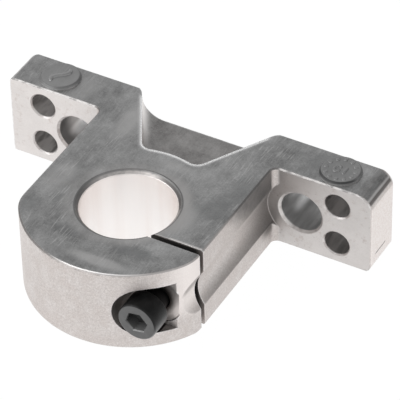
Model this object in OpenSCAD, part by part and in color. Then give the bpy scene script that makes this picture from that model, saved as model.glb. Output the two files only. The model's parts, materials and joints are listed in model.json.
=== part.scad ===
// Shaft support block: a one-piece die-cast clamp housing with a split bore,
// two mounting lugs and one socket head screw that closes the split.
// Frame: the origin is on the bore axis, halfway up the casting. X runs along
// the lugs, +Y points at the mounting face and +Z is up the shaft.

/* [Casting] */
// Height of the casting along the shaft
thickness = 19.6; // [18:0.2:26]
// Width of the body across its two straight sides
body_width = 40.4; // [39:0.2:42.6]
// Radius of the round nose in front of the bore
nose_radius = 22.6; // [22:0.2:25]
// How far the centre of the nose lies behind the bore axis
nose_shift = 1.1; // [0:0.1:2.5]
// Radius of the rounded lower edge of the nose
nose_foot = 1; // [0.4:0.1:2]
// Radius that blends the nose into the straight sides
shoulder_radius = 8; // [4:0.5:12]
// Distance from the bore axis to the mounting face
axis_height = 33.5; // [32:0.5:42]
// Small chamfer along the outer edges of the casting
edge_break = 0.3; // [0.2:0.05:0.8]

/* [Lugs] */
// Length over both lugs
lug_span = 85; // [82:0.5:100]
// Depth of a lug from its front face to the mounting face
lug_depth = 9.9; // [8:0.1:12]
// Radius of the fillet between a lug and the body
lug_fillet = 1.5; // [0.5:0.1:3]
// Radius of the upright back corner at the left lug end
lug_corner = 2.5; // [1:0.25:4]
// Radius of the upright corners at the right lug end, where the gate was trimmed off
trimmed_corner = 0.5; // [0.3:0.1:2]
// Radius of the rounded edges at the left lug end
lug_end_radius = 0.9; // [0.4:0.1:2]
// Radius of the trimmed upper edge at the right lug end
trimmed_top_radius = 3.8; // [1:0.2:5]
// Radius of the trimmed lower edge at the right lug end
trimmed_foot_radius = 2; // [0.4:0.2:4]

/* [Shaft bore] */
// Diameter of the shaft bore
bore_d = 20; // [17:0.5:21]
// Width of the chamfer at both ends of the bore
bore_chamfer = 0.8; // [0.3:0.1:1.5]

/* [Back pocket] */
// Thickness of the web between the upper and lower pocket
web_thickness = 5.8; // [3:0.2:8]
// Wall left round the bore where it faces the pocket
bore_wall = 7.4; // [5:0.2:9]
// Width of the pocket where it runs out through the mounting face
pocket_width = 32.4; // [28:0.2:34]
// Slope of the pocket walls from the Y direction
pocket_slope = 30; // [22:1:34]
// Radius of the upright corners in front of the pocket
pocket_corner = 2.5; // [1:0.25:3]
// Radius of the fillet along the pocket floor
floor_fillet = 4.5; // [1:0.25:5]
// Radius of the foot corners where the pocket meets the mounting face
foot_radius = 3; // [0.5:0.25:3.5]

/* [Mounting holes] */
// Diameter of the large bolt hole in each lug
bolt_hole_d = 9.2; // [8:0.1:10]
// Distance between the two large bolt holes
bolt_spacing = 52.8; // [51:0.2:58]
// Width of the chamfer on the large bolt holes, in front
bolt_chamfer = 0.55; // [0.2:0.05:1]
// Radius of the channel that lets a bolt head and washer past the body
channel_radius = 7.6; // [7:0.1:8.6]
// Diameter of the four small holes
small_hole_d = 5.6; // [4:0.1:6.2]
// Distance between the small holes along X
small_spacing_x = 69.3; // [68:0.1:72]
// Distance between the small holes along Z
small_spacing_z = 9.8; // [8:0.1:11]
// Width of the chamfer on the small holes, and on all holes at the back
small_chamfer = 0.35; // [0.1:0.05:0.6]

/* [Cast discs] */
// Diameter of the raised disc on top of each lug
disc_d = 8.4; // [6:0.2:9]
// Distance between the two discs
disc_spacing = 66; // [62:0.5:68]
// Height of a disc's rim above the casting
disc_height = 0.5; // [0.3:0.05:0.8]
// Depth of a disc's field below its rim
disc_field = 0.2; // [0.05:0.05:0.25]
// Width of a disc's rim
disc_rim = 0.5; // [0.3:0.1:1]

/* [Clamp] */
// Width of the slit
slit_width = 1.4; // [1:0.1:2.4]
// Distance from the bore axis to the middle of the slit
slit_offset = 6.2; // [5:0.1:7]
// Thickness of the jaw between the slit and the screw seat
jaw_thickness = 5.2; // [4:0.1:6.5]
// Thickness of metal between the bore and the screw hole
screw_wall = 0.9; // [0.6:0.1:1.6]
// Radial gap between the screw and its hole in the jaw
jaw_gap = 0.25; // [0.1:0.05:0.5]
// Length of the threaded hole past the tip of the tightened screw
thread_spare = 3.8; // [2:0.2:6]
// Radial gap between the screw head and the edge of its machined seat
seat_gap = 1.35; // [0.8:0.05:1.6]
// Depth of the machined seat below the cast recess floor
seat_depth = 0.4; // [0.3:0.1:1.5]
// How far the cast recess stands clear of the machined seat all round
recess_step = 0.3; // [0.1:0.05:0.8]

/* [Clamp screw] */
// Diameter of the screw's thread
screw_d = 5; // [4:0.5:5.5]
// Length of the screw under its head
screw_length = 20; // [16:0.5:22]
// Diameter of the screw head
head_d = 8.5; // [7:0.1:9.5]
// Height of the screw head
head_height = 5; // [4:0.1:6]
// Size of the hexagon socket across its flats
socket_size = 4; // [3:0.1:5]
// Depth of the hexagon socket
socket_depth = 2.6; // [1.5:0.1:3.5]
// Turn of the hexagon socket about the screw's axis
socket_turn = 10; // [0:1:59]
// Distance that the screw is backed out from its seat
backed_out = 3.5; // [0:0.1:6]
// Radial running clearance between the screw and its threaded hole
thread_clearance = 0.05; // [0.02:0.01:0.1]

/* [Hidden] */
$fn = 96;

half_t = thickness / 2;
side_x = body_width / 2;
bore_r = bore_d / 2;
boss_r = bore_r + bore_wall;
lug_front = axis_height - lug_depth;
nose_front = nose_shift - nose_radius;
shoulder_x = side_x - shoulder_radius;
shoulder_y = nose_shift - sqrt(pow(nose_radius - shoulder_radius, 2) - pow(shoulder_x, 2));
slit_front = -slit_offset - slit_width / 2;
slit_back = -slit_offset + slit_width / 2;
seat_y = slit_front - jaw_thickness;
recess_floor = seat_y - seat_depth;
screw_r = screw_d / 2;
screw_x = bore_r + screw_wall + screw_r;
head_back = seat_y - backed_out;
seat_r = head_d / 2 + seat_gap;
recess_r = seat_r + recess_step;
thread_end = seat_y + screw_length + thread_spare;
drill_point = 0.3;
tip_chamfer = 0.5;
head_edge = 0.5;
// Step that keeps a blend just below the two faces it joins
blend_step = 0.01;
// Reach of a cutter past the surface it cuts
spare = 1;

// Rectangular section with broken edges
function broken_rectangle(w, h, c) = [
    [-w / 2 + c, -h / 2], [w / 2 - c, -h / 2], [w / 2, -h / 2 + c], [w / 2, h / 2 - c],
    [w / 2 - c, h / 2], [-w / 2 + c, h / 2], [-w / 2, h / 2 - c], [-w / 2, -h / 2 + c]
];

// What lies between a square corner at the origin and an arc of radius r in it
module corner_bit(r) {
    difference() {
        translate([-spare, -spare]) square(r + spare);
        translate([r, r]) circle(r);
    }
}

// Upright round plate as high as the casting, with broken edges
module plate_disc(r) {
    rotate_extrude()
        polygon([[0, -half_t], [r - edge_break, -half_t], [r, -half_t + edge_break],
                 [r, half_t - edge_break], [r - edge_break, half_t], [0, half_t]]);
}

// Straight stretch of the body between two Y positions, with broken edges
module body_bar(front, back) {
    translate([0, back, 0]) rotate([90, 0, 0])
        linear_extrude(back - front)
            polygon(broken_rectangle(body_width, thickness, edge_break));
}

// Round hole along Y between two Y positions
module y_hole(x, z, r, front, back) {
    translate([x, back, z]) rotate([90, 0, 0]) cylinder(r = r, h = back - front);
}

// Hole along Y through a lug, with a chamfer at both ends
module lug_hole(x, z, d, chamfer) {
    y_hole(x, z, d / 2, lug_front - spare, axis_height + spare);
    translate([x, lug_front + chamfer, z]) rotate([90, 0, 0])
        cylinder(r1 = d / 2, r2 = d / 2 + chamfer + spare, h = chamfer + spare);
    translate([x, axis_height - small_chamfer, z]) rotate([-90, 0, 0])
        cylinder(r1 = d / 2, r2 = d / 2 + small_chamfer + spare, h = small_chamfer + spare);
}

// Wedge in front of the right side that the shoulder's blend fills. One flank
// passes through the centres of both arcs, and so through the point where they meet.
module shoulder_wedge() {
    reach = 1.1 * nose_radius / (nose_radius - shoulder_radius);
    reach_y = nose_shift + (shoulder_y - nose_shift) * reach;
    linear_extrude(thickness + 2 * spare, center = true)
        polygon([[shoulder_x, shoulder_y], [shoulder_x * reach, reach_y],
                 [side_x + 2 * spare, reach_y], [side_x + 2 * spare, shoulder_y]]);
}

// Round nose cut to the width of the body, with a blend into each side. Its lower edge is
// rounded, and the rounding runs out along the sides.
module nose() {
    intersection() {
        translate([0, nose_shift, 0]) rotate_extrude() difference() {
            polygon([[0, -half_t], [nose_radius, -half_t], [nose_radius, half_t - edge_break],
                     [nose_radius - edge_break, half_t], [0, half_t]]);
            translate([nose_radius, -half_t]) rotate(90) corner_bit(nose_foot);
        }
        union() {
            difference() {
                body_bar(nose_front - spare, 0);
                for (side = [0, 1]) mirror([side, 0, 0]) shoulder_wedge();
            }
            for (side = [0, 1]) mirror([side, 0, 0]) intersection() {
                translate([shoulder_x, shoulder_y, 0]) plate_disc(shoulder_radius - blend_step);
                shoulder_wedge();
            }
        }
    }
}

// Bar through both lugs: rounded ends, rounded back corners, broken long edges
module lug_bar() {
    half_span = lug_span / 2;
    intersection() {
        translate([-half_span, (lug_front + axis_height) / 2, 0]) rotate([90, 0, 90])
            linear_extrude(lug_span)
                polygon(broken_rectangle(lug_depth, thickness, edge_break));
        linear_extrude(thickness, center = true)
            difference() {
                translate([-half_span, lug_front]) square([lug_span, lug_depth]);
                translate([-half_span, axis_height]) rotate(-90) corner_bit(lug_corner);
                translate([half_span, axis_height]) rotate(180) corner_bit(trimmed_corner);
                translate([half_span, lug_front]) rotate(90) corner_bit(trimmed_corner);
            }
        translate([0, axis_height, 0]) rotate([90, 0, 0])
            linear_extrude(lug_depth)
                difference() {
                    square([lug_span, thickness], center = true);
                    translate([half_span, half_t]) rotate(180) corner_bit(trimmed_top_radius);
                    translate([half_span, -half_t]) rotate(90) corner_bit(trimmed_foot_radius);
                    translate([-half_span, half_t]) rotate(-90) corner_bit(lug_end_radius);
                    translate([-half_span, -half_t]) corner_bit(lug_end_radius);
                }
    }
}

// Upright fillets in the corners between the lugs and the body
module lug_fillets() {
    for (side = [0, 1]) mirror([side, 0, 0]) difference() {
        translate([side_x - spare, lug_front - lug_fillet, -half_t])
            cube([lug_fillet + spare, lug_fillet + spare, thickness]);
        translate([side_x + lug_fillet, lug_front - lug_fillet, 0]) rotate_extrude()
            polygon([[0, -half_t - spare], [lug_fillet + edge_break + spare, -half_t - spare],
                     [lug_fillet, edge_break - half_t], [lug_fillet, half_t - edge_break],
                     [lug_fillet + edge_break + spare, half_t + spare], [0, half_t + spare]]);
    }
}

// Plan of the back pocket: two sloping walls, the round wall behind the bore,
// upright fillets in its front corners and rounded feet at the mounting face
module pocket_plan() {
    half_mouth = pocket_width / 2;
    mouth = [half_mouth, axis_height];
    along = [sin(pocket_slope), cos(pocket_slope)];
    inward = [-cos(pocket_slope), sin(pocket_slope)];
    // Centre of the front corner's fillet, tangent to the wall and the boss
    start = mouth + inward * pocket_corner;
    corner_reach = boss_r + pocket_corner;
    corner = start + along * (-start * along
             + sqrt(pow(start * along, 2) - start * start + pow(corner_reach, 2)));
    // Where the bare wall would meet the boss
    meet = mouth + along * (-mouth * along
           + sqrt(pow(mouth * along, 2) - mouth * mouth + pow(boss_r, 2)));
    // Centre of the foot's rounding, tangent to the wall and the mounting face
    foot = mouth - inward * foot_radius
           - along * foot_radius * (1 - sin(pocket_slope)) / cos(pocket_slope);
    difference() {
        union() {
            polygon([mouth + [0, spare], mouth, meet, [0, boss_r / 2],
                     [-meet[0], meet[1]], [-mouth[0], mouth[1]], [-mouth[0], mouth[1] + spare]]);
            for (side = [0, 1]) mirror([side, 0]) difference() {
                polygon([foot, foot + [0, foot_radius + spare],
                         mouth + inward + [0, spare], foot + inward * (foot_radius + spare)]);
                translate(foot) circle(foot_radius);
            }
        }
        circle(boss_r);
        for (side = [0, 1]) mirror([side, 0]) difference() {
            polygon([corner, corner - inward * (pocket_corner + spare), meet - inward - along,
                     corner * (boss_r - spare) / corner_reach]);
            translate(corner) circle(pocket_corner);
        }
    }
}

// Upper back pocket, with fillets where its walls meet the web
module pocket() {
    floor_z = web_thickness / 2;
    run = axis_height / cos(pocket_slope);
    difference() {
        translate([0, 0, floor_z]) linear_extrude(half_t - floor_z + spare) pocket_plan();
        for (side = [0, 1]) mirror([side, 0, 0])
            translate([pocket_width / 2 + spare * sin(pocket_slope),
                       axis_height + spare * cos(pocket_slope), floor_z])
                rotate([90, 0, -pocket_slope])
                    linear_extrude(run) mirror([1, 0]) corner_bit(floor_fillet);
        translate([0, 0, floor_z])
            rotate_extrude() translate([boss_r, 0]) corner_bit(floor_fillet);
    }
}

// Shaft bore with a chamfer at both ends
module bore() {
    cylinder(r = bore_r, h = thickness + 2 * spare, center = true);
    for (side = [0, 1]) mirror([0, 0, side])
        translate([0, 0, half_t - bore_chamfer])
            cylinder(r1 = bore_r, r2 = bore_r + bore_chamfer + spare, h = bore_chamfer + spare);
}

// Slit, screw recess, seat and screw hole, which make the nose a clamp jaw
module clamp_cuts() {
    open_end = side_x + spare;
    translate([0, slit_front, -half_t - spare])
        cube([open_end, slit_width, thickness + 2 * spare]);
    y_hole(screw_x, 0, recess_r, nose_front - spare, recess_floor);
    translate([screw_x, nose_front - spare, -recess_r])
        cube([open_end - screw_x, recess_floor - nose_front + spare, 2 * recess_r]);
    y_hole(screw_x, 0, seat_r, nose_front, seat_y);
    y_hole(screw_x, 0, screw_r + jaw_gap, seat_y - spare, slit_back);
    y_hole(screw_x, 0, screw_r + thread_clearance, slit_front, thread_end);
    translate([screw_x, thread_end, 0]) rotate([-90, 0, 0])
        cylinder(r1 = screw_r + thread_clearance, r2 = 0, h = screw_r * 2 * drill_point);
}

// Raised disc on top of a lug, with a rim round a lower field
module cast_disc(side) {
    translate([side * disc_spacing / 2, (lug_front + axis_height) / 2, half_t - spare])
        difference() {
            cylinder(d = disc_d, h = disc_height + spare);
            translate([0, 0, disc_height + spare - disc_field])
                cylinder(d = disc_d - 2 * disc_rim, h = disc_field + spare);
        }
}

module clamp_block() {
    color([0.62, 0.61, 0.6]) {
        difference() {
            union() {
                nose();
                body_bar(-spare, lug_front + spare);
                lug_bar();
                lug_fillets();
            }
            for (side = [-1, 1])
                y_hole(side * bolt_spacing / 2, 0, channel_radius, nose_front, lug_front);
            for (side = [0, 1]) mirror([0, 0, side]) pocket();
            bore();
            clamp_cuts();
            for (side = [-1, 1]) {
                lug_hole(side * bolt_spacing / 2, 0, bolt_hole_d, bolt_chamfer);
                for (level = [-1, 1])
                    lug_hole(side * small_spacing_x / 2, level * small_spacing_z / 2,
                             small_hole_d, small_chamfer);
            }
        }
        for (side = [-1, 1]) cast_disc(side);
    }
}

// Socket head screw along Y: its head faces -Y and its tip is in the thread
module clamp_screw() {
    color([0.13, 0.13, 0.14])
        translate([screw_x, head_back, 0]) rotate([-90, 0, 0]) difference() {
            union() {
                rotate_extrude()
                    polygon([[0, -head_height], [head_d / 2 - head_edge, -head_height],
                             [head_d / 2, head_edge - head_height], [head_d / 2, 0], [0, 0]]);
                rotate_extrude()
                    polygon([[0, -spare], [screw_r, -spare], [screw_r, screw_length - tip_chamfer],
                             [screw_r - tip_chamfer, screw_length], [0, screw_length]]);
            }
            translate([0, 0, -head_height - spare]) rotate([0, 0, socket_turn])
                cylinder(d = socket_size / cos(30), h = socket_depth + spare, $fn = 6);
            translate([0, 0, socket_depth - head_height])
                cylinder(d1 = socket_size, d2 = 0, h = socket_size * drill_point);
        }
}

clamp_block();
clamp_screw();
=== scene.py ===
"""Looks of the shaft support block: a tumbled die casting with machined faces, and its
black clamp screw with a real thread and socket. Lengths are in metres, in the row's frame:
the origin is on the bore axis, +X runs to the screw's side, +Y to the mounting face."""

import json
import math
from types import SimpleNamespace

import bpy
import numpy as np
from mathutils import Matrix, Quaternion, Vector


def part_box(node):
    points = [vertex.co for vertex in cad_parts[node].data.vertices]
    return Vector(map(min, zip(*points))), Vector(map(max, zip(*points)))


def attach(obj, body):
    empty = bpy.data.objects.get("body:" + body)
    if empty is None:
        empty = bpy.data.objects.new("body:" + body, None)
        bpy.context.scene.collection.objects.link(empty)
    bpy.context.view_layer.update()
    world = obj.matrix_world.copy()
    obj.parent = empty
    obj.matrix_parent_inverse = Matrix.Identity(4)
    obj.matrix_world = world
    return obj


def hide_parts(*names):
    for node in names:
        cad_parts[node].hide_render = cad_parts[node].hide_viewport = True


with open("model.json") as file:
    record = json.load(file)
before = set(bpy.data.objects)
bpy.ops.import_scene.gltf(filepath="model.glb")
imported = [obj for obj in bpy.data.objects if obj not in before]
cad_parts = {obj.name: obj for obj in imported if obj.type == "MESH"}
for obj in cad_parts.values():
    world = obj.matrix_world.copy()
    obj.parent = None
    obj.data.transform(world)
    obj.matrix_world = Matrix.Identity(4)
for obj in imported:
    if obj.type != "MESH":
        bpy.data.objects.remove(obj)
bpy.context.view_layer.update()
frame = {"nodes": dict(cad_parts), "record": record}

MM = 0.001

# ---------------------------------------------------------------- places, from the frame
mounts = {mount["name"]: mount for mount in frame["record"]["mounts"]}
block_low, block_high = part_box("clamp_block")
screw_low, screw_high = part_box("clamp_screw")

BORE_R = mounts["shaft_bore"]["dims"]["r_mm"] * MM
BACK_Y = mounts["mounting_face"]["pos_m"][1]
BOLT_X = mounts["bolt_holes"]["dims"]["spacing_x_mm"] * MM / 2
BOLT_R = mounts["bolt_holes"]["dims"]["hole_r_mm"] * MM
SMALL_X = mounts["small_holes_right"]["pos_m"][0]
SMALL_Z = mounts["small_holes_right"]["dims"]["spacing_y_mm"] * MM / 2
SMALL_R = mounts["small_holes_right"]["dims"]["hole_r_mm"] * MM
TOP_Z = -block_low.z
SCREW_X = (screw_low.x + screw_high.x) / 2
HEAD_R = (screw_high.x - screw_low.x) / 2

# ---------------------------------------------------------------- the casting's own sizes
LUG_DEPTH = 9.9 * MM
LUG_FRONT_Y = BACK_Y - LUG_DEPTH
BORE_CHAMFER = 0.8 * MM
BOLT_CHAMFER = 0.55 * MM
SMALL_CHAMFER = 0.35 * MM
CHANNEL_R = 7.6 * MM
BODY_SIDE_X = 20.2 * MM
SLIT_Y = -6.2 * MM
SLIT_HALF = 0.7 * MM
SEAT_Y = -12.1 * MM
SEAT_R = 5.6 * MM
DISC_X = 33.0 * MM
DISC_Y = (LUG_FRONT_Y + BACK_Y) / 2
DISC_R = 4.2 * MM
CAP_Z = TOP_Z + 0.66 * MM
# A cap's quarter round starts CAP_EDGE_IN inside the disc's radius, ends CAP_EDGE_OUT past it, and
# its foot lies CAP_SUNK below the top
CAP_SUNK = 0.05 * MM
CAP_EDGE_IN = 0.35 * MM
CAP_EDGE_OUT = 0.25 * MM
CAP_RIM = 0.75 * MM
CAP_RIM_HEIGHT = 0.07 * MM
BOSS_R = 17.4 * MM
END_X = block_high.x
END_TOP_R = 3.8 * MM
GATE_Y = 27.95 * MM
GATE_Z = -5.8 * MM

# ---------------------------------------------------------------- borders of the finishes
FACE_HALF = 0.05 * MM
FACE_BLUR = 0.02 * MM
HOLE_WALL = 0.06 * MM
TOP_BORDER = 0.35 * MM
ABOVE_WEB_Z = 3.5 * MM
POCKET_FRONT_Y = 8 * MM
POCKET_HALF_X = 18.5 * MM
# Shares of X and Z in the direction across a large hole along which its painted reflection, a
# bright stripe, is placed
REFLECTION_TURN = (0.86, 0.51)
# Shares of X and Y in the direction from the bore's axis to the painted shade on its chamfer
RING_SHADE_TURN = (0.62, 0.78)

# Darker and paler patches on the top: X, Y, half widths along X and Y in mm, grey level and share
STAINS = [
    (-7.0, -12.5, 4.2, 1.7, 138, 0.6),
    (8.3, -12.4, 5.2, 2.1, 140, 0.7),
    (15.8, 6.1, 4.5, 4.5, 146, 0.5),
    (-17.6, -9.0, 2.0, 3.4, 150, 0.45),
    (-13.8, -5.0, 1.4, 1.8, 144, 0.5),
    (30.0, 29.0, 6.0, 4.0, 148, 0.5),
    (17.8, 14.0, 3.0, 7.0, 152, 0.45),
    (3.5, -17.7, 6.8, 1.5, 214, 0.7),
    (-16.5, 1.5, 2.8, 4.5, 206, 0.5),
    (12.6, 0.6, 1.9, 4.6, 210, 0.55),
    (-12.8, 23.5, 2.4, 6.4, 216, 0.6),
    (-27.0, 27.5, 3.0, 4.0, 204, 0.4),
    (2.5, 14.4, 4.0, 1.3, 206, 0.4),
]

# Places where the linishing left bundles of longer marks: X, Y and half widths in mm
LINISHED = [
    (13.7, 21.2, 4.0, 3.5),
    (17.2, 26.5, 4.5, 2.5),
    (-13.0, -4.3, 3.0, 4.5),
    (-16.0, 4.0, 2.5, 3.5),
    (-9.6, -10.5, 0.9, 4.5),
    (20.0, 28.5, 4.0, 2.0),
]

# ---------------------------------------------------------------- the screw's sizes
SCREW_R = 2.5 * MM
HEAD_HEIGHT = 5.0 * MM
HEAD_EDGE = 0.45 * MM
SEAT_GAP = 0.05 * MM
NECK_LENGTH = 3.6 * MM
THREAD_PITCH = 0.8 * MM
THREAD_DEPTH = 0.42 * MM
SOCKET_SIZE = 4.0 * MM
SOCKET_DEPTH = 2.6 * MM
SOCKET_TURN = math.radians(10)
SOCKET_MOUTH = 1.1
HEEL_R = 0.15 * MM
NECK_R = 0.2 * MM
TIP_CHAMFER = 0.6 * MM

# ---------------------------------------------------------------- camera
CAMERA_TARGET = Vector((9.86, 11.56, 5.94)) * MM
CAMERA_AZIMUTH = 30.11
CAMERA_ELEVATION = 40.39
CAMERA_DISTANCE = 0.6261
CAMERA_ROLL = math.radians(-1.43)
CAMERA_LENS = 279.5
CAMERA_SENSOR = 36.0


def grey(level, warm=0.0):
    """Linear colour of an sRGB grey from 0 to 255. warm lifts red by so many levels and lowers blue
    by half as many."""
    channels = []
    for offset in (warm, 0.0, -warm / 2):
        value = (level + offset) / 255
        channels.append(value / 12.92 if value < 0.04045 else ((value + 0.055) / 1.055) ** 2.4)
    return (*channels, 1.0)


# ================================================================ shader helpers
class Finish:
    """The shader nodes of one finish. Every method adds a node and returns its output socket."""

    def __init__(self, name):
        self.material = bpy.data.materials.new(name)
        self.material.use_nodes = True
        self.tree = self.material.node_tree
        self.shader = self.tree.nodes["Principled BSDF"]
        place = self.add("ShaderNodeTexCoord")
        self.object = place.outputs["Object"]
        self.x, self.y, self.z = self.split(self.object)
        self.nx, self.ny, self.nz = self.split(place.outputs["Normal"])

    def add(self, kind, inputs=(), **settings):
        """A node with the given settings; inputs pairs a socket's name or number with a value or
        socket."""
        node = self.tree.nodes.new(kind)
        for key, value in settings.items():
            setattr(node, key, value)
        for key, value in inputs:
            self.put(node.inputs[key], value)
        return node

    def put(self, socket, value):
        """Joins a socket, or sets its value."""
        if isinstance(value, bpy.types.NodeSocket):
            self.tree.links.new(value, socket)
        else:
            socket.default_value = value

    def split(self, vector):
        parts = self.add("ShaderNodeSeparateXYZ", [(0, vector)])
        return parts.outputs[0], parts.outputs[1], parts.outputs[2]

    def math(self, operation, *values):
        return self.add("ShaderNodeMath", list(enumerate(values)), operation=operation).outputs[0]

    def minus(self, first, second):
        return self.math("SUBTRACT", first, second)

    def times(self, first, *others):
        for other in others:
            first = self.math("MULTIPLY", first, other)
        return first

    def largest(self, first, *others):
        for other in others:
            first = self.math("MAXIMUM", first, other)
        return first

    def less(self, value):
        """One minus a mask."""
        return self.minus(1.0, value)

    def rise(self, value, low, high, start=0.0, end=1.0):
        """Smooth step from start at low to end at high. low may lie above high."""
        return self.add(
            "ShaderNodeMapRange",
            [("Value", value), ("From Min", low), ("From Max", high), ("To Min", start),
             ("To Max", end)],
            interpolation_type="SMOOTHSTEP",
        ).outputs["Result"]

    def fall(self, value, low, high):
        """Smooth step from one at low to zero at high."""
        return self.rise(value, low, high, 1.0, 0.0)

    def near(self, value, middle, half_width, blur=0.05 * MM):
        """One where value is within half_width of middle, with a soft border."""
        away = self.math("ABSOLUTE", self.minus(value, middle))
        return self.fall(away, half_width - blur, half_width + blur)

    def on_face(self, value, place):
        """One on a machined face, where value is place."""
        return self.near(value, place, FACE_HALF, FACE_BLUR)

    def distance(self, first, second):
        """Length of the vector whose two parts are given."""
        squares = self.math("ADD", self.times(first, first), self.times(second, second))
        return self.math("SQRT", squares)

    def noise(self, size, detail=3.0, roughness=0.55, stretch=(1, 1, 1), offset=(0, 0, 0)):
        """Noise from 0 to 1 whose lumps are about size across, times stretch along each axis."""
        scale = tuple(1 / (size * s) for s in stretch)
        place = self.add(
            "ShaderNodeMapping", [("Vector", self.object), ("Scale", scale), ("Location", offset)]
        ).outputs[0]
        return self.add(
            "ShaderNodeTexNoise",
            [("Vector", place), ("Scale", 1.0), ("Detail", detail), ("Roughness", roughness)],
        ).outputs["Fac"]

    def mix(self, factor, first, second):
        """Colour that goes from first to second as factor goes from 0 to 1."""
        node = self.add("ShaderNodeMix", data_type="RGBA")
        colours = [s for s in node.inputs if s.type == "RGBA"]
        self.put(node.inputs["Factor"], factor)
        self.put(colours[0], first)
        self.put(colours[1], second)
        return [s for s in node.outputs if s.type == "RGBA"][0]

    def layered(self, colour, *layers):
        """Colour with each layer, a pair of mask and colour, laid over it in turn."""
        for mask, layer in layers:
            colour = self.mix(mask, colour, layer)
        return colour

    def mix_value(self, factor, first, second):
        """Number that goes from first to second as factor goes from 0 to 1."""
        node = self.add("ShaderNodeMix", data_type="FLOAT")
        self.put(node.inputs["Factor"], factor)
        self.put(node.inputs["A"], first)
        self.put(node.inputs["B"], second)
        return node.outputs["Result"]

    def shade(self, colour, factor):
        """Colour with its brightness multiplied by factor."""
        return self.add(
            "ShaderNodeVectorMath", [(0, colour), (1, self.spread(factor))], operation="MULTIPLY"
        ).outputs[0]

    def spread(self, value):
        """A number as a vector of three equal parts."""
        return self.add("ShaderNodeCombineXYZ", [(0, value), (1, value), (2, value)]).outputs[0]

    def away_from(self, x, y, half_x, half_y):
        """Distance in the plan from a place, as a share of the half widths given in mm."""
        return self.distance(self.math("DIVIDE", self.minus(self.x, x * MM), half_x * MM),
                             self.math("DIVIDE", self.minus(self.y, y * MM), half_y * MM))

    def openness(self, reach, inside=False):
        """Share of the directions that meet nothing of the same piece within reach, outside or
        inside the metal. Inside it is low near an edge."""
        return self.add("ShaderNodeAmbientOcclusion", [("Distance", reach)], samples=8,
                        inside=inside, only_local=True).outputs["AO"]

    def sum(self, *terms):
        """Sum of weight times (value less a half), over pairs of weight and value, plus a half."""
        total = 0.5
        for weight, value in terms:
            total = self.math("MULTIPLY_ADD", self.minus(value, 0.5), weight, total)
        return total

    def bump(self, height, depth, normal=None):
        """Normal of a surface raised by depth where height is 1."""
        inputs = [("Height", height), ("Distance", depth), ("Strength", 1.0)]
        if normal is not None:
            inputs.append(("Normal", normal))
        return self.add("ShaderNodeBump", inputs).outputs["Normal"]

    def finish(self, colour, roughness, normal, metallic=1.0):
        """Joins the colour, roughness and normal to the shader, and returns the material."""
        self.put(self.shader.inputs["Base Color"], colour)
        self.put(self.shader.inputs["Roughness"], roughness)
        self.shader.inputs["Metallic"].default_value = metallic
        self.put(self.shader.inputs["Normal"], normal)
        return self.material


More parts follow.
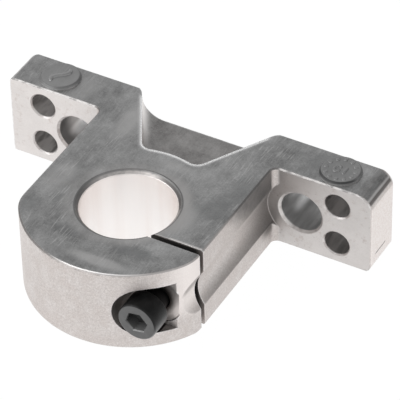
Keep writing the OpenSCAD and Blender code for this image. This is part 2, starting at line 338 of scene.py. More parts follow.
# ================================================================ finishes
def casting_surfaces(f):
    """Masks of the casting, each 1 on the surface that it is named for, with the distances that
    they are worked out from. side_x is the distance from the middle, the same on both sides."""
    on = SimpleNamespace()
    on.side_x = f.math("ABSOLUTE", f.x)
    side_z = f.math("ABSOLUTE", f.z)
    side_nz = f.math("ABSOLUTE", f.nz)
    side_ny = f.math("ABSOLUTE", f.ny)
    on.radial = f.distance(f.x, f.y)
    on.right = f.rise(f.x, 0, 1 * MM)
    on.left = f.rise(f.x, 1 * MM, 0)
    on.right_of_bore = f.rise(f.math("DIVIDE", f.x, on.radial), -0.2, 0.9)
    on.behind_bore = f.rise(f.math("DIVIDE", f.y, on.radial), 0.0, 0.9)

    # Top and bottom, the rounded end of the right lug and the relief on the discs
    flat = f.rise(side_nz, 0.85, 0.97)
    on.outer_flat = f.times(flat, f.rise(side_z, TOP_Z - TOP_BORDER, TOP_Z - 0.1 * MM))
    lug_length = f.times(f.rise(f.y, LUG_FRONT_Y + 0.2 * MM, LUG_FRONT_Y + 0.5 * MM),
                         f.fall(f.y, BACK_Y - 0.5 * MM, BACK_Y - 0.2 * MM))
    on.end_round = f.times(f.rise(f.x, END_X - END_TOP_R, END_X - END_TOP_R + 0.1 * MM),
                           f.rise(f.nz, 0.38, 0.5), lug_length)
    on.end_face = f.near(f.x, END_X, 0.1 * MM, 0.05 * MM)
    on.dark = f.largest(on.outer_flat, on.end_round,
                        f.rise(f.z, TOP_Z + 0.02 * MM, TOP_Z + 0.04 * MM))
    on.top_chamfer = f.times(
        f.rise(side_nz, 0.5, 0.6), f.less(flat),
        f.rise(side_z, TOP_Z - 0.36 * MM, TOP_Z - 0.3 * MM),
        f.rise(on.radial, BORE_R + BORE_CHAMFER + 0.2 * MM, BORE_R + BORE_CHAMFER + 0.4 * MM),
        f.rise(f.z, TOP_Z + 0.03 * MM, TOP_Z + 0.01 * MM))
    on.disc_away = f.distance(f.minus(on.side_x, DISC_X), f.minus(f.y, DISC_Y))
    on.disc = f.times(f.fall(on.disc_away, DISC_R + 0.1 * MM, DISC_R + 0.3 * MM),
                      f.rise(f.z, TOP_Z - 0.1 * MM, TOP_Z))

    # Back pocket
    behind = f.rise(f.y, POCKET_FRONT_Y, POCKET_FRONT_Y + 1 * MM)
    between_arms = f.fall(on.side_x, POCKET_HALF_X, POCKET_HALF_X + 0.5 * MM)
    on.pocket = f.times(behind, f.rise(on.radial, BOSS_R - 0.3 * MM, BOSS_R), between_arms)
    on.pocket_edge = f.times(behind, f.rise(on.radial, BOSS_R - 1.2 * MM, BOSS_R - 1.0 * MM),
                             between_arms, f.rise(f.z, ABOVE_WEB_Z, ABOVE_WEB_Z + 1 * MM),
                             f.rise(f.y, BACK_Y - 1.5 * MM, BACK_Y - 3 * MM))
    on.pocket_floor = f.times(on.pocket, f.less(on.outer_flat), f.rise(side_nz, 0.05, 0.6))

    # Bore, lugs and their holes
    on.bore = f.near(on.radial, BORE_R, 0.1 * MM)
    on.bore_ring = f.times(f.near(on.radial, BORE_R + BORE_CHAMFER / 2, BORE_CHAMFER / 2),
                           f.less(flat))
    on.lug_front = f.times(f.on_face(f.y, LUG_FRONT_Y), f.fall(f.ny, -0.98, -0.9))
    on.mounting_face = f.times(f.on_face(f.y, BACK_Y), f.rise(f.ny, 0.9, 0.98))
    in_lug = f.rise(f.y, LUG_FRONT_Y + 0.1 * MM, LUG_FRONT_Y + 0.2 * MM)
    on.bolt_away = f.distance(f.minus(on.side_x, BOLT_X), f.z)
    small_away = f.distance(f.minus(on.side_x, SMALL_X), f.minus(side_z, SMALL_Z))
    on.big_hole = f.times(in_lug, f.near(on.bolt_away, BOLT_R, HOLE_WALL))
    on.small_hole = f.times(in_lug, f.near(small_away, SMALL_R, HOLE_WALL))
    on.rim = f.times(
        f.near(f.y, LUG_FRONT_Y + BOLT_CHAMFER / 2, BOLT_CHAMFER / 2 + FACE_HALF, FACE_BLUR),
        f.largest(f.near(on.bolt_away, BOLT_R + BOLT_CHAMFER / 2, BOLT_CHAMFER / 2),
                  f.near(small_away, SMALL_R + SMALL_CHAMFER / 2, SMALL_CHAMFER / 2)),
        f.rise(f.ny, -0.9, -0.85))

    # Sides of the body, the slit, and the stepped recess with the screw's seat
    beside_body = f.fall(f.y, LUG_FRONT_Y - 0.2 * MM, LUG_FRONT_Y - 0.1 * MM)
    on.channel = f.times(f.near(on.bolt_away, CHANNEL_R, 0.08 * MM), beside_body)
    on.body_side = f.times(f.near(on.side_x, BODY_SIDE_X, 0.1 * MM), beside_body)
    on.slit = f.times(f.near(f.y, SLIT_Y, SLIT_HALF + FACE_HALF),
                      f.rise(f.x, BORE_R * 0.8, BORE_R * 0.85),
                      f.fall(f.z, TOP_Z - 0.4 * MM, TOP_Z - TOP_BORDER), f.rise(side_ny, 0.8, 0.9))
    screw_away = f.distance(f.minus(f.x, SCREW_X), f.z)
    on.seat = f.times(f.on_face(f.y, SEAT_Y), f.fall(screw_away, SEAT_R, SEAT_R + 0.05 * MM))
    on.seat_lit = f.rise(screw_away, 2.9 * MM, 4.3 * MM)
    on.recess = f.times(f.fall(screw_away, SEAT_R + 0.6 * MM, SEAT_R + 0.7 * MM),
                        f.fall(f.y, SEAT_Y - 0.3 * MM, SEAT_Y - 0.2 * MM),
                        f.fall(side_ny, 0.2, 0.3))
    on.recess_lit = f.rise(f.x, SCREW_X + 2.2 * MM, SCREW_X + 3.6 * MM)

    # Edges, which have little metal within reach behind them
    on.edge = f.fall(f.openness(0.45 * MM, inside=True), 0.5, 0.9)
    on.round_edge = f.fall(f.openness(1.1 * MM, inside=True), 0.7, 0.95)
    return on


def casting_patterns(f):
    """Noises of the casting: tone is the blotchy grey of its flat faces, and scratch the fine marks
    along Y, which show in bundles."""
    grain = SimpleNamespace()
    grain.patchy = f.rise(f.noise(1.5 * MM, 2.0, 0.6), 0.3, 0.6)
    grain.broad = f.noise(7 * MM, 4.0, 0.6, offset=(3.1, 1.7, 0))
    grain.blotches = f.noise(2.4 * MM, 4.0, 0.65, stretch=(1, 1.5, 1))
    grain.speckle = f.noise(0.45 * MM, 3.0, 0.7)
    grain.grit = f.noise(0.28 * MM, 2.0, 0.8, offset=(7.7, 2.3, 4.1))
    grain.clouds = f.rise(f.noise(3.5 * MM, 3.0, 0.6), 0.35, 0.7)
    grain.marks = f.noise(0.25 * MM, 2.0, 0.5, stretch=(1, 15, 1))
    bundles = f.noise(4.5 * MM, 2.0, 0.5, stretch=(1, 1.8, 1), offset=(0.4, 5.2, 0))
    bundles = f.rise(bundles, 0.5, 0.66)
    for x, y, half_x, half_y in LINISHED:
        bundles = f.largest(bundles, f.fall(f.away_from(x, y, half_x, half_y), 0.5, 1.2))
    grain.scratch = f.times(f.rise(grain.marks, 0.54, 0.66), bundles)
    grain.tone = f.sum((1.6, grain.broad), (1.0, grain.blotches), (0.7, grain.speckle),
                       (0.35, grain.marks), (0.9, grain.grit))
    return grain


def linished_top(f, on, grain):
    """Dark linished top, its grey partly the finish and partly painted shade, with bundles of fine
    marks, stains, a paler ring by the bore, a painted dark band and a painted highlight on the
    rounded end, and the two discs, whose outer edges are darker by painted shade."""
    # The top's dark grey is partly its linished finish and partly painted shade for faces that look
    # up.
    top = f.mix(grain.tone, grey(142), grey(203))
    for x, y, half_x, half_y, level, share in STAINS:
        ragged = f.sum((1.0, f.away_from(x, y, half_x, half_y)), (1.0, grain.speckle),
                       (1.0, grain.blotches))
        warm = -1 if level < 160 else 1
        top = f.mix(f.rise(ragged, 0.45, 1.3, share, 0.0), top, grey(level, warm))
    halo_reach = f.math("ADD", on.radial, f.math("MULTIPLY", f.minus(grain.broad, 0.5), 5 * MM))
    halo = f.times(f.fall(halo_reach, BORE_R + 1.5 * MM, BORE_R + 4.0 * MM),
                   f.math("MULTIPLY_ADD", on.right_of_bore, 0.45, 0.35))
    # Painted shade and a painted highlight across the right lug's rounded end.
    wander = f.math("MULTIPLY", f.noise(3 * MM, 2.0, 0.5, stretch=(1, 4, 1)), 0.6 * MM)
    end_z = f.math("ADD", f.z, wander)
    end_shade = f.rise(end_z, TOP_Z - 1.3 * MM, TOP_Z - 0.2 * MM, 0.9, 0.1)
    end_highlight = f.near(end_z, TOP_Z - 0.9 * MM, 0.2 * MM, 0.16 * MM)
    # Painted shade on the discs' outer edges, darker at the front.
    disc_front = f.times(on.right, f.rise(f.ny, -0.1, -0.4))
    shaded_disc_edge = f.times(on.disc, f.rise(f.nz, 0.995, 0.9),
                        f.rise(on.disc_away, DISC_R - 0.6 * MM, DISC_R - 0.3 * MM))
    return f.layered(
        top,
        (halo, grey(200, 2)),
        (f.times(grain.scratch, 0.42), grey(222, 1)),
        (f.times(on.end_round, end_shade), grey(110, 5)),
        (f.times(on.end_round, end_highlight, 0.7), grey(230, 2)),
        (f.times(on.disc, 0.75), f.mix(on.right, grey(168, 0), grey(162, 0))),
        (shaded_disc_edge, f.mix(disc_front, grey(134), grey(84))))


def blasted_sides(f, on, grain):
    """Pale blasted sides with a faint warm mottle, with painted light that makes the jaw's side
    paler toward its top, and paler on the lug's end.
    """
    # Painted light: the jaw's side gets paler upward.
    lit_jaw_side = f.times(f.rise(f.x, BODY_SIDE_X - 5 * MM, BODY_SIDE_X - 0.5 * MM),
                       f.rise(f.y, SLIT_Y, SLIT_Y - 0.2 * MM))
    return f.layered(
        f.mix(grain.clouds, grey(205, 8), grey(220, 5)),
        (f.rise(grain.speckle, 0.3, 0.75, 0.8, 0.0), grey(190, 7)),
        (f.rise(grain.grit, 0.4, 0.68, 0.0, 0.38), grey(240, 4)),
        (f.times(lit_jaw_side, f.rise(f.z, -5 * MM, 0, 0.0, 0.8)), grey(242, 6)),
        (on.end_face, f.mix(f.rise(grain.grit, 0.4, 0.6), grey(226, 8), grey(239, 5))))


def machined_faces(f, on, grain):
    """Smooth machined faces with faint stains and small specks, which are darker on the right, and
    painted light that makes the faces paler on the left.
    """
    stained = f.times(f.rise(f.noise(1.1 * MM, 4.0, 0.7), 0.5, 0.68),
                      f.rise(f.noise(5 * MM), 0.44, 0.6))
    speck_noise = f.noise(0.5 * MM, 2.0, 0.6, stretch=(1.6, 1, 1), offset=(5, 0, 2))
    specks = f.rise(speck_noise, 0.68, 0.74, 0.0, f.rise(f.x, 0, 1 * MM, 0.2, 0.6))
    return f.layered(
        f.mix(grain.clouds, grey(208, 5), grey(217, 5)),
        (stained, grey(180, 11)),
        (specks, f.mix(on.right, grey(204, 6), grey(128, 8))),
        (f.rise(grain.grit, 0.4, 0.7, 0.0, 0.35), grey(230, 5)),
        # Painted light: paler on the left.
        (f.rise(f.x, 0, 1 * MM, 0.4, 0.0), grey(234, 5)))


def body_walls(f, on, grain):
    """Sides, pocket and machined faces, with painted light and shade: a lit end of the pocket's
    wall, a shaded front of the right lug, body sides and channels painted darker toward the lugs, a
    painted shadow below the channel, and painted shade on the channel's lower half and along the
    scoop's arc."""
    lit_wall = f.times(on.pocket, f.rise(f.nx, 0.5, 0.8), f.rise(f.y, 20 * MM, 28 * MM),
                       f.rise(f.z, 1 * MM, 7 * MM))
    shaded_front = f.times(on.lug_front, on.right, f.rise(f.z, -9 * MM, 9 * MM, 0.45, 0.82),
                           f.rise(f.x, 22 * MM, 38 * MM, 0.75, 0.6))
    # Painted shade: the upper body side darkens along a slanted line toward the lug.
    shaded_upper_side = f.times(on.body_side, f.rise(f.z, 4 * MM, 5 * MM))
    slanted = f.math("ADD", f.math("ADD", f.y, f.z),
                     f.math("MULTIPLY", f.minus(grain.blotches, 0.5), 5 * MM))
    # Painted shadow under the channel near the lug.
    shadow_below_channel = f.times(on.body_side, f.rise(f.z, -7.5 * MM, -5 * MM),
                            f.rise(f.z, -3 * MM, -4 * MM))
    # Painted shade on the channel's lower half, and on the channel toward the lug.
    shaded_lower_channel = f.rise(f.z, -0.2 * MM, -4.4 * MM, 0.0, 1.0)
    # Painted shade along the scoop's upper arc on the jaw.
    shaded_scoop_arc = f.times(f.near(on.bolt_away, CHANNEL_R, 0.3 * MM, 0.1 * MM),
                        f.fall(f.y, SLIT_Y - 0.5 * MM, SLIT_Y), f.rise(f.z, 1 * MM, 3 * MM))
    return f.layered(
        blasted_sides(f, on, grain),
        (on.pocket_floor, f.mix(grain.tone, grey(144, 2), grey(194, 2))),
        (f.times(lit_wall, 0.9), grey(248, 3)),
        (f.largest(on.lug_front, on.mounting_face, on.seat), machined_faces(f, on, grain)),
        (shaded_front, grey(176, 3)),
        (f.times(shaded_upper_side, f.rise(slanted, 11.5 * MM, 20.5 * MM, 0.0, 0.92)),
         f.mix(grain.patchy, grey(132, 2), grey(144, 3))),
        (f.times(shadow_below_channel, f.rise(f.y, 17.5 * MM, 21 * MM, 0.0, 0.75)), grey(120, 3)),
        (f.times(on.channel, shaded_lower_channel, f.rise(f.y, -10 * MM, 0, 0.2, 0.5)), grey(112, 3)),
        (f.times(on.channel, f.rise(f.y, 9 * MM, LUG_FRONT_Y, 0.0, 0.5)), grey(140, 3)),
        (f.times(shaded_scoop_arc, 0.6), grey(130, 6)))


def hole_layers(f, on):
    """Layers for the chamfers and walls of the lug holes. across_bolt runs across a large hole from
    -1 to 1 and places the painted reflection, a bright stripe, on its wall; the wall of the left
    large hole also gets painted light further in."""
    marks = f.noise(1.6 * MM, 2.0, 0.5, stretch=(1, 4, 1))
    from_bolt = f.minus(f.x, f.math("MULTIPLY", f.math("SIGN", f.x), BOLT_X))
    share_x, share_z = REFLECTION_TURN
    across_bolt = f.math("DIVIDE", f.minus(f.math("MULTIPLY", from_bolt, share_x),
                                           f.math("MULTIPLY", f.z, share_z)), BOLT_R)
    # Painted reflection: a bright stripe on the wall of each large hole, further in.
    streak = f.times(f.near(across_bolt, -0.22, 0.16, 0.16),
                     f.rise(f.y, LUG_FRONT_Y + 2.5 * MM, LUG_FRONT_Y + 6 * MM))
    # Painted light further in the left large hole, with a second painted reflection across it.
    deep = f.rise(f.y, LUG_FRONT_Y + 2 * MM, LUG_FRONT_Y + 5.5 * MM)
    left_hole_reflection = f.times(f.near(across_bolt, -0.4, 0.13, 0.1), deep)
    left_wall = f.mix(left_hole_reflection, f.mix(deep, grey(148, 2), grey(190, 4)), grey(252, 3))
    big_wall = f.mix(on.left, f.mix(f.rise(marks, 0.3, 0.7), grey(158, 1), grey(186, 1)), left_wall)
    small_wall = f.mix(on.left, f.mix(f.rise(marks, 0.35, 0.7), grey(150, 3), grey(184, 4)),
                       f.mix(f.rise(marks, 0.35, 0.6), grey(158, 3), grey(206, 3)))
    return [(on.rim, f.mix(f.rise(marks, 0.4, 0.6), grey(192, 6), grey(220, 4))),
            (on.big_hole, f.mix(streak, big_wall, grey(255, 0))),
            (on.small_hole, small_wall)]


def bore_layers(f, on, grain):
    """Layers for the bore and the chamfer round it, which has painted light behind and to the
    right, and painted shade toward RING_SHADE_TURN."""
    # Painted light and shade on the chamfer, by its direction from the bore's axis.
    ring = f.mix(f.largest(on.right_of_bore, on.behind_bore), grey(140, 2),
                 f.mix(grain.patchy, grey(176, 3), grey(206, 5)))
    share_x, share_y = RING_SHADE_TURN
    toward_shade = f.math("MULTIPLY_ADD", f.x, share_x, f.times(f.y, share_y))
    ring_shade = f.rise(f.math("DIVIDE", toward_shade, on.radial), 0.7, 0.95)
    ring = f.mix(ring_shade, ring, grey(104, 2))
    ring_edge = f.near(on.radial, BORE_R + BORE_CHAMFER, 0.24 * MM, 0.12 * MM)
    bore_marks = f.noise(3.6 * MM, 3.0, 0.5, stretch=(1, 1, 20), offset=(0.3, 0, 0))
    return [(f.largest(on.bore_ring, f.times(ring_edge, on.dark)),
             f.mix(f.times(ring_edge, 0.8), ring, grey(134))),
            (on.bore, f.mix(f.rise(bore_marks, 0.3, 0.6), grey(245, 6), grey(251, 4)))]


def edge_layers(f, on, grain):
    """Layers for the edges: the chamfer round the top, with a painted highlight along the front of
    the nose and painted shade on its left part and beside the body's side toward the lug, a darker
    line below it, near white edges elsewhere that are partly wear and partly painted highlight, and
    a painted highlight on the lip behind the slit."""
    below_top = f.times(f.rise(f.z, TOP_Z - 0.2 * MM, TOP_Z), f.less(on.pocket))
    # Near white edges: partly wear and partly painted highlight; along the pocket the edge is a
    # painted highlight.
    worn_and_highlit = f.times(on.edge, f.less(f.largest(on.bore, on.bore_ring)), f.less(below_top),
                   f.math("MULTIPLY_ADD", grain.patchy, 0.5, 0.15))
    worn_and_highlit = f.largest(f.times(worn_and_highlit, f.less(on.disc)), f.times(on.round_edge, on.pocket_edge))
    on_lug = f.rise(on.side_x, 21 * MM, 22 * MM)
    in_front = f.rise(f.y, -15.5 * MM, -20 * MM)
    # Painted highlight on the top chamfer along the front of the nose; painted shade on it to the
    # left and beside the body's side toward the lug.
    bright = f.times(f.rise(f.z, TOP_Z - 0.2 * MM, TOP_Z - 0.12 * MM), in_front,
                     f.rise(f.x, -7 * MM, 3 * MM))
    toward_lug = f.rise(f.y, 1 * MM, 10.5 * MM, 0.0, 0.92)
    shaded_chamfer_by_lug = f.times(f.rise(f.x, BODY_SIDE_X - 1 * MM, BODY_SIDE_X - 0.5 * MM), toward_lug)
    line = f.layered(
        f.mix(bright, f.mix(f.rise(f.x, 0, -7 * MM), grey(190, 4), grey(120, 3)), grey(250, 2)),
        (shaded_chamfer_by_lug, grey(124, 2)),
        (on_lug, f.mix(grain.patchy, grey(150, 2), grey(202, 3))))
    under_line = f.times(f.near(f.z, TOP_Z - 0.5 * MM, 0.12 * MM, 0.08 * MM),
                         f.rise(f.y, -17 * MM, -20 * MM))
    # Painted highlight on the lip behind the slit.
    lit_far_lip = f.times(f.near(f.y, SLIT_Y + SLIT_HALF + 0.2 * MM, 0.26 * MM, 0.12 * MM),
                      on.outer_flat, f.rise(f.x, BORE_R + 2 * MM, BORE_R + 3 * MM))
    return [(on.top_chamfer, line),
            (f.times(under_line, f.less(grain.patchy), 0.6), grey(128, 6)),
            (worn_and_highlit, grey(255)),
            (lit_far_lip, grey(224, 2))]


def recess_layers(f, on, grain):
    """Layers for the slit, painted darker further in; the screw's recess, with painted light on its
    right side and a painted shadow at its bottom; the seat, with painted shade in its middle and
    painted light round it; and the short mark that the mould's gate left on the right lug's end."""
    # Painted shade: the slit darkens further in, and the recess's left part and bottom and the
    # seat's middle are dark. Painted light falls on the recess's right side and round the seat.
    lit_slit_mouth = f.rise(f.x, BODY_SIDE_X - 1.9 * MM, BODY_SIDE_X - 0.4 * MM)
    recess_bottom_shadow = f.times(on.recess, f.rise(f.z, -3.6 * MM, -4.4 * MM, 0.0, 0.92))
    ragged_z = f.math("ADD", f.z, f.math("MULTIPLY", grain.speckle, 0.4 * MM))
    gate = f.times(f.near(f.x, END_X, 0.1 * MM, FACE_BLUR), f.near(f.y, GATE_Y, 2.2 * MM, 0.3 * MM),
                   f.near(ragged_z, GATE_Z, 0.16 * MM, 0.1 * MM))
    return [(on.slit, f.mix(lit_slit_mouth, grey(96, 3), grey(178, 8))),
            (on.recess, f.mix(on.recess_lit, grey(178, 5), grey(240, 8))),
            (on.seat, f.mix(on.seat_lit, grey(104, 8), grey(236, 8))),
            (recess_bottom_shadow, grey(34, 5)),
            (f.times(gate, 0.8), grey(120, 3))]


def cast_aluminium():
    """The casting: dark linished top, pale blasted sides, machined bore, lug fronts and holes, with
    painted light and shade in the colour; the top is dark partly by painted shade.
    """
    f = Finish("cast_aluminium_finish")
    on = casting_surfaces(f)
    grain = casting_patterns(f)
    machined = f.largest(on.lug_front, on.mounting_face, on.seat)
    lit_pocket_edge = f.times(on.pocket_edge, on.round_edge)

    colour = f.layered(body_walls(f, on, grain), (on.dark, linished_top(f, on, grain)),
                       *hole_layers(f, on), *bore_layers(f, on, grain),
                       *edge_layers(f, on, grain), *recess_layers(f, on, grain))
    # Painted shade in corners, except on the surfaces whose colour already holds painted light or
    # shade
    shade_held = f.largest(on.bore, on.big_hole, on.small_hole, on.rim, on.slit, lit_pocket_edge,
                           f.times(on.recess, on.recess_lit), f.times(on.seat, on.seat_lit),
                           on.disc, f.times(on.lug_front, 0.86))
    corner_shade = f.rise(f.openness(14 * MM), 0.1, 0.9, 0.45, 1.0)
    colour = f.shade(colour, f.math("MAXIMUM", corner_shade, shade_held))

    roughness = f.mix_value(on.dark, 0.55, f.rise(grain.blotches, 0.3, 0.7, 0.38, 0.5))
    for surface, level in [(machined, 0.42), (on.bore, 0.3), (on.disc, 0.6),
                           (f.largest(on.edge, on.bore_ring), 0.5), (lit_pocket_edge, 0.14)]:
        roughness = f.mix_value(surface, roughness, level)

    linished_relief = f.math("ADD", f.times(grain.marks, 0.4), f.times(grain.blotches, 0.4))
    height = f.mix_value(on.dark, f.times(grain.speckle, 0.8), linished_relief)
    height = f.mix_value(f.largest(on.bore, on.lug_front), height, f.times(grain.marks, 0.1))
    well_rounded = f.largest(on.pocket_edge, f.rise(f.x, END_X - 2.5 * MM, END_X - 1.5 * MM))
    soft_radius = f.mix_value(well_rounded, 0.3 * MM, 1.0 * MM)
    soft = f.add("ShaderNodeBevel", [("Radius", soft_radius)], samples=6).outputs["Normal"]
    return f.finish(colour, roughness, f.bump(height, 0.05 * MM, soft))


def black_oxide():
    """The screw: a black conversion coat, greyer and smoother on the rubbed face of the head. The
    barrel has painted light on its lower half and a sheen painted stronger there, the head's front
    edges a painted glint, and the shank is darker still, partly its coat and partly painted shade."""
    f = Finish("black_oxide_finish")
    front = f.fall(f.ny, -0.97, -0.85)
    face = f.times(front, f.fall(f.y, screw_low.y + 0.1 * MM, screw_low.y + 0.4 * MM))
    edge = f.fall(f.openness(0.35 * MM, inside=True), 0.5, 0.92)
    grain = f.noise(0.25 * MM, 3.0, 0.6)
    clouds = f.rise(f.noise(1.6 * MM, 3.0, 0.6), 0.3, 0.7)
    shank = f.rise(f.y, screw_low.y + HEAD_HEIGHT, screw_low.y + HEAD_HEIGHT + 0.1 * MM)
    # Painted light on the barrel's lower half.
    lit_barrel = f.times(f.rise(f.z, 1 * MM, -3.5 * MM), f.less(shank), f.less(front))
    # Painted glint on the edges of the head's front.
    glint_on_front_edge = f.times(edge, f.rise(f.y, screw_low.y + 1 * MM, screw_low.y + 1.5 * MM, 0.3, 0.0))
    colour = f.layered(
        f.mix(clouds, grey(20), grey(30)),
        # The shank darker still, partly its coat and partly painted shade.
        (shank, grey(16)),
        (f.times(lit_barrel, 0.95), grey(136)),
        (face, f.mix(clouds, grey(88), grey(96))),
        (glint_on_front_edge, grey(120)))
    roughness = f.rise(grain, 0.3, 0.7, 0.34, 0.46)
    # Sheen painted stronger low on the barrel; almost none on the shank.
    gloss = f.mix_value(front, f.rise(f.z, 2 * MM, -3.2 * MM, 0.2, 1.0), 0.5)
    f.put(f.shader.inputs["Specular IOR Level"], f.mix_value(shank, gloss, 0.1))
    return f.finish(colour, roughness, f.bump(grain, 0.012 * MM), metallic=0.0)


# ================================================================ meshes
def closed_grid(name, rings, start, end):
    """Mesh of a closed form from rings of points, an array of rings by points by 3, with a pole at
    each end. Point j of ring i joins point j of ring i + 1, and each ring closes on itself."""
    count, around = rings.shape[:2]
    points = np.concatenate([rings.reshape(-1, 3), [start], [end]])
    i, j = np.meshgrid(np.arange(count - 1), np.arange(around), indexing="ij")
    here, after = i * around + j, i * around + (j + 1) % around
    quads = np.stack([here, after, after + around, here + around], -1).reshape(-1, 4)
    spokes = np.arange(around)
    last = (count - 1) * around
    first_fan = np.stack([np.full(around, count * around), (spokes + 1) % around, spokes], -1)
    last_fan = np.stack([last + spokes, last + (spokes + 1) % around,
                         np.full(around, count * around + 1)], -1)
    mesh = bpy.data.meshes.new(name)
    mesh.from_pydata(points.tolist(), [], quads.tolist() + first_fan.tolist() + last_fan.tolist())
    mesh.polygons.foreach_set("use_smooth", np.ones(len(mesh.polygons), bool))
    mesh.update()
    piece = bpy.data.objects.new(name, mesh)
    bpy.context.scene.collection.objects.link(piece)
    return piece


def quarter(centre_r, centre_y, radius, start, end, steps=6):
    """Radius and Y of the points of an arc in the profile, its angles in degrees."""
    turn = np.radians(np.linspace(start, end, steps))
    return centre_r + radius * np.cos(turn), centre_y + radius * np.sin(turn)


def make_screw():
    """Socket head screw as one grid round its axis. The profile goes from the bottom of the socket
    out over the head and along the thread to the tip. In the socket the radius follows a hexagon:
    half its width over cos(angle), where angle is measured from the middle of the nearest flat.
    Along the shank the radius is the crest's less a groove, whose depth is a triangle wave of
    (distance / pitch - turn / full turn), cut off flat at the crest and at the root."""
    around = 96
    turn = np.arange(around) * 2 * np.pi / around
    sector = np.pi / 3
    hexagon = SOCKET_SIZE / 2 / np.cos((turn + sector / 2) % sector - sector / 2)
    front = screw_low.y
    back = front + HEAD_HEIGHT - SEAT_GAP
    tip = screw_high.y

    floor_y = front + SOCKET_DEPTH
    socket = [
        (0.35 * hexagon, floor_y + 0.45 * MM),
        (hexagon * 0.97, floor_y + 0.02 * MM),
        (hexagon, floor_y),
        (hexagon, front + 0.3 * MM),
        (hexagon, front + 0.22 * MM),
        (hexagon * SOCKET_MOUTH, front),
        (0.5 * hexagon * SOCKET_MOUTH + 0.5 * (HEAD_R - HEAD_EDGE), front),
    ]
    edge_r, edge_y = quarter(HEAD_R - HEAD_EDGE, front + HEAD_EDGE, HEAD_EDGE, -90, 0)
    heel_r, heel_y = quarter(HEAD_R - HEEL_R, back - HEEL_R, HEEL_R, 0, 90, 4)
    neck_r, neck_y = quarter(SCREW_R + NECK_R, back + NECK_R, NECK_R, 270, 180, 5)
    outline = [*zip(edge_r, edge_y), *zip(heel_r, heel_y), *zip(neck_r, neck_y)]
    rings_r = [np.broadcast_to(r, around) for r, _ in [*socket, *outline]]
    rings_y = [np.full(around, y) for _, y in [*socket, *outline]]

    per_pitch = 12
    along = np.linspace(back + 0.3 * MM, tip, int((tip - back) / THREAD_PITCH * per_pitch))[:, None]
    thread_start = back + NECK_LENGTH
    wave = np.abs((along / THREAD_PITCH - turn / (2 * np.pi)) % 1 * 2 - 1)
    groove = THREAD_DEPTH * np.clip(1.35 * wave - 0.15, 0, 1)
    run_in = np.clip((along - thread_start) / THREAD_PITCH, 0, 1)
    point = np.clip(along - tip + TIP_CHAMFER, 0, None)
    shank_r = np.minimum(SCREW_R - groove * run_in, SCREW_R - point)
    shank_y = np.broadcast_to(along, shank_r.shape)

    radius = np.concatenate([np.stack(rings_r), shank_r])
    y = np.concatenate([np.stack(rings_y), shank_y])
    angle = turn + SOCKET_TURN + np.pi / 6
    rings = np.stack([SCREW_X + radius * np.cos(angle), y, radius * np.sin(angle)], -1)
    screw = closed_grid("socket_head_screw", rings,
                        (SCREW_X, floor_y + 0.7 * MM, 0), (SCREW_X, tip, 0))
    screw.data.set_sharp_from_angle(angle=math.radians(35))
    screw.data.materials.append(black_oxide())
    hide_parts("clamp_screw")
    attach(screw, "screw")


def ridge(path, width, height, base_z):
    """Rings of a low ridge of rounded section along an open path in the plan. Across the ridge, at
    an angle a from -90 to 90 degrees, the point lies half a width times sin(a) to the side and
    height times cos(a) up. Toward both ends the section shrinks with the root of
    1 - (distance)^4."""
    count = len(path)
    tangent = np.gradient(path, axis=0)
    tangent /= np.linalg.norm(tangent, axis=1)[:, None]
    normal = np.stack([-tangent[:, 1], tangent[:, 0]], -1)
    taper = np.sqrt(np.clip(1 - np.linspace(-1, 1, count) ** 4, 0.02, 1))
    turn = np.radians(np.linspace(-90, 90, 9))
    across = np.concatenate([np.sin(turn), [0.6, -0.6]]) * width / 2
    rise = np.concatenate([np.cos(turn) * height, [-0.1 * MM, -0.1 * MM]])
    plan = path[:, None] + normal[:, None] * (across[None, :, None] * taper[:, None, None])
    level = base_z + np.where(rise > 0, rise[None] * taper[:, None], rise[None])
    return np.concatenate([plan, level[..., None]], -1)


def make_disc_cap(name, centre):
    """Button over a disc, a solid of revolution: flat, then a low soft rim that rises as half a
    cosine wave, then a quarter round that falls past the disc's own edge into the lug's top."""
    around = 72
    rim_outer = DISC_R - CAP_EDGE_IN
    rim_inner = rim_outer - CAP_RIM
    inner = np.linspace(0.0, rim_outer, 9)[1:]
    swell = np.clip((inner - rim_inner) / (rim_outer - rim_inner), 0, 1)
    edge = np.radians(np.linspace(0, 90, 8))[1:]
    crown = CAP_Z + CAP_RIM_HEIGHT
    low = TOP_Z - CAP_SUNK
    profile_r = np.concatenate([inner, rim_outer + (CAP_EDGE_IN + CAP_EDGE_OUT) * np.sin(edge)])
    profile_z = np.concatenate([CAP_Z + CAP_RIM_HEIGHT * (1 - np.cos(swell * np.pi)) / 2,
                                low + (crown - low) * np.cos(edge)])
    turn = np.arange(around) * 2 * np.pi / around
    rings = np.stack([centre[0] + profile_r[:, None] * np.cos(turn),
                      centre[1] + profile_r[:, None] * np.sin(turn),
                      np.broadcast_to(profile_z[:, None], (len(profile_r), around))], -1)
    cap = closed_grid(name, rings, (centre[0], centre[1], CAP_Z), (centre[0], centre[1], low))
    cap.data.set_sharp_from_angle(angle=math.radians(60))
    dress_cast(cap)


def dress_cast(piece):
    """Gives relief on the casting the casting's finish and body."""
    piece.data.materials.append(block.material_slots[0].material)
    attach(piece, "block")


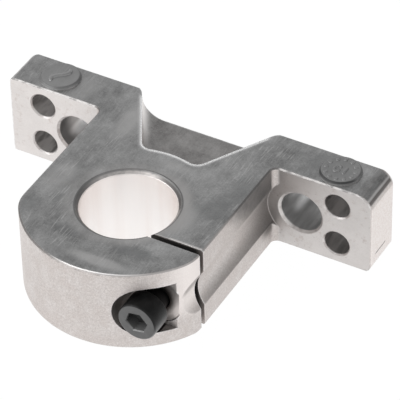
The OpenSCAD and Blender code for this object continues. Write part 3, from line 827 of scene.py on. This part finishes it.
def make_cast_marks():
    """Relief that the mould leaves on the two discs: a bent rib on the left, and on the right a
    ring of small bumps round a small ring and a bar. Every rib is a low ridge on the disc's
    cap."""
    left, right = np.array([-DISC_X, DISC_Y]), np.array([DISC_X, DISC_Y])
    make_disc_cap("left_disc_cap", left)
    make_disc_cap("right_disc_cap", right)
    t = np.linspace(-1, 1, 31)
    bend = np.stack([0.6 * t + 0.9 * np.sin(t * 3.0), 2.7 * t], -1)
    ribs = [(left + bend * MM, 1.2, 0.26)]
    for angle in np.radians(np.arange(0, 360, 30) + 8):
        spoke = np.array([math.cos(angle), math.sin(angle)])
        centre = right + 3.15 * MM * spoke
        ribs.append((centre + spoke * np.linspace(-0.5, 0.5, 9)[:, None] * MM, 0.9, 0.12))
    turn = np.linspace(0, 2 * np.pi, 25)
    small_ring = np.stack([-0.75 + 0.65 * np.cos(turn), 1.0 * np.sin(turn)], -1)
    ribs.append((right + small_ring * MM, 0.7, 0.12))
    bar = np.stack([np.full(13, 0.95), np.linspace(-1.2, 1.2, 13)], -1)
    ribs.append((right + bar * MM, 0.8, 0.12))
    for number, (path, width, height) in enumerate(ribs):
        rings = ridge(path, width * MM, height * MM, CAP_Z)
        dress_cast(closed_grid(f"cast_mark_{number:02d}", rings, rings[0].mean(0),
                               rings[-1].mean(0)))


# ================================================================ stage
def make_floor():
    """White floor that the block stands on. Where it is seen or mirrored it glows white, less a
    faint share that takes the shadow."""
    half = 3.0
    mesh = bpy.data.meshes.new("floor")
    corners = [(-half, -half, block_low.z), (half, -half, block_low.z),
               (half, half, block_low.z), (-half, half, block_low.z)]
    mesh.from_pydata(corners, [], [(0, 1, 2, 3)])
    floor = bpy.data.objects.new("floor", mesh)
    bpy.context.scene.collection.objects.link(floor)
    material = bpy.data.materials.new("floor_white")
    material.use_nodes = True
    nodes, links = material.node_tree.nodes, material.node_tree.links
    matt = nodes["Principled BSDF"]
    matt.inputs["Base Color"].default_value = (0.9, 0.9, 0.9, 1)
    matt.inputs["Roughness"].default_value = 0.9
    glow = nodes.new("ShaderNodeEmission")
    glow.inputs["Strength"].default_value = 1.02
    path = nodes.new("ShaderNodeLightPath")
    seen = nodes.new("ShaderNodeMath")
    seen.operation = "MAXIMUM"
    links.new(path.outputs["Is Camera Ray"], seen.inputs[0])
    links.new(path.outputs["Is Glossy Ray"], seen.inputs[1])
    through = nodes.new("ShaderNodeMath")
    through.operation = "MAXIMUM"
    links.new(seen.outputs[0], through.inputs[0])
    links.new(path.outputs["Is Transmission Ray"], through.inputs[1])
    share = nodes.new("ShaderNodeMath")
    share.operation = "MULTIPLY"
    share.inputs[1].default_value = 0.97
    links.new(through.outputs[0], share.inputs[0])
    blend = nodes.new("ShaderNodeMixShader")
    links.new(share.outputs[0], blend.inputs[0])
    links.new(matt.outputs[0], blend.inputs[1])
    links.new(glow.outputs[0], blend.inputs[2])
    links.new(blend.outputs[0], nodes["Material Output"].inputs["Surface"])
    mesh.materials.append(material)


def make_world():
    """Dome of light, white at the horizon and grey overhead, as under a dark studio ceiling, with a
    dark curtain behind the block on its right."""
    world = bpy.data.worlds.new("studio_dome")
    bpy.context.scene.world = world
    world.use_nodes = True
    nodes, links = world.node_tree.nodes, world.node_tree.links
    place = nodes.new("ShaderNodeTexCoord")
    parts = nodes.new("ShaderNodeSeparateXYZ")
    links.new(place.outputs["Generated"], parts.inputs[0])
    fall = nodes.new("ShaderNodeMapRange")
    fall.interpolation_type = "SMOOTHSTEP"
    for key, value in {"From Min": 0.12, "From Max": 0.7, "To Min": 1.0, "To Max": 0.4}.items():
        fall.inputs[key].default_value = value
    links.new(parts.outputs["Z"], fall.inputs["Value"])
    toward = nodes.new("ShaderNodeVectorMath")
    toward.operation = "DOT_PRODUCT"
    toward.inputs[1].default_value = (0.62, 0.68, 0.39)
    links.new(place.outputs["Generated"], toward.inputs[0])
    curtain = nodes.new("ShaderNodeMapRange")
    curtain.interpolation_type = "SMOOTHSTEP"
    for key, value in {"From Min": 0.75, "From Max": 0.98, "To Min": 1.0, "To Max": 0.3}.items():
        curtain.inputs[key].default_value = value
    links.new(toward.outputs["Value"], curtain.inputs["Value"])
    strength = nodes.new("ShaderNodeMath")
    strength.operation = "MULTIPLY"
    links.new(fall.outputs["Result"], strength.inputs[0])
    links.new(curtain.outputs["Result"], strength.inputs[1])
    links.new(strength.outputs[0], nodes["Background"].inputs["Strength"])
    nodes["Background"].inputs["Color"].default_value = (1, 1, 1, 1)


def outward(azimuth, elevation):
    """Unit vector from the block, its azimuth turned from the front toward the right and its
    elevation from level upward, in degrees."""
    turn, rise = math.radians(azimuth), math.radians(elevation)
    return Vector((math.sin(turn) * math.cos(rise), -math.cos(turn) * math.cos(rise),
                   math.sin(rise)))


def make_softbox(name, azimuth, elevation, distance, size, power):
    """Square area lamp that looks at the middle of the block."""
    light = bpy.data.lights.new(name, "AREA")
    light.shape = "SQUARE"
    light.size = size
    light.energy = power
    lamp = bpy.data.objects.new(name, light)
    bpy.context.scene.collection.objects.link(lamp)
    away = outward(azimuth, elevation)
    lamp.location = (block_low + block_high) / 2 + away * distance
    lamp.rotation_euler = away.to_track_quat("Z", "Y").to_euler()


def make_camera():
    """Camera that looks at a point from an azimuth and elevation, with a slight roll."""
    away = outward(CAMERA_AZIMUTH, CAMERA_ELEVATION)
    data = bpy.data.cameras.new("camera")
    data.sensor_width = CAMERA_SENSOR
    data.lens = CAMERA_LENS
    data.clip_start = 0.01
    camera = bpy.data.objects.new("camera", data)
    bpy.context.scene.collection.objects.link(camera)
    camera.location = CAMERA_TARGET + away * CAMERA_DISTANCE
    camera.rotation_mode = "QUATERNION"
    facing = away.to_track_quat("Z", "Y")
    camera.rotation_quaternion = facing @ Quaternion((0, 0, 1), CAMERA_ROLL)
    bpy.context.scene.camera = camera


# ================================================================ the scene
block = frame["nodes"]["clamp_block"]
block.material_slots[0].material = cast_aluminium()
make_screw()
make_cast_marks()

make_floor()
make_world()
make_softbox("softbox_left", azimuth=-50, elevation=40, distance=0.7, size=0.5, power=2.2)
make_softbox("softbox_right", azimuth=95, elevation=35, distance=0.8, size=0.5, power=0.6)
make_camera()
bpy.context.scene.view_settings.view_transform = "Standard"
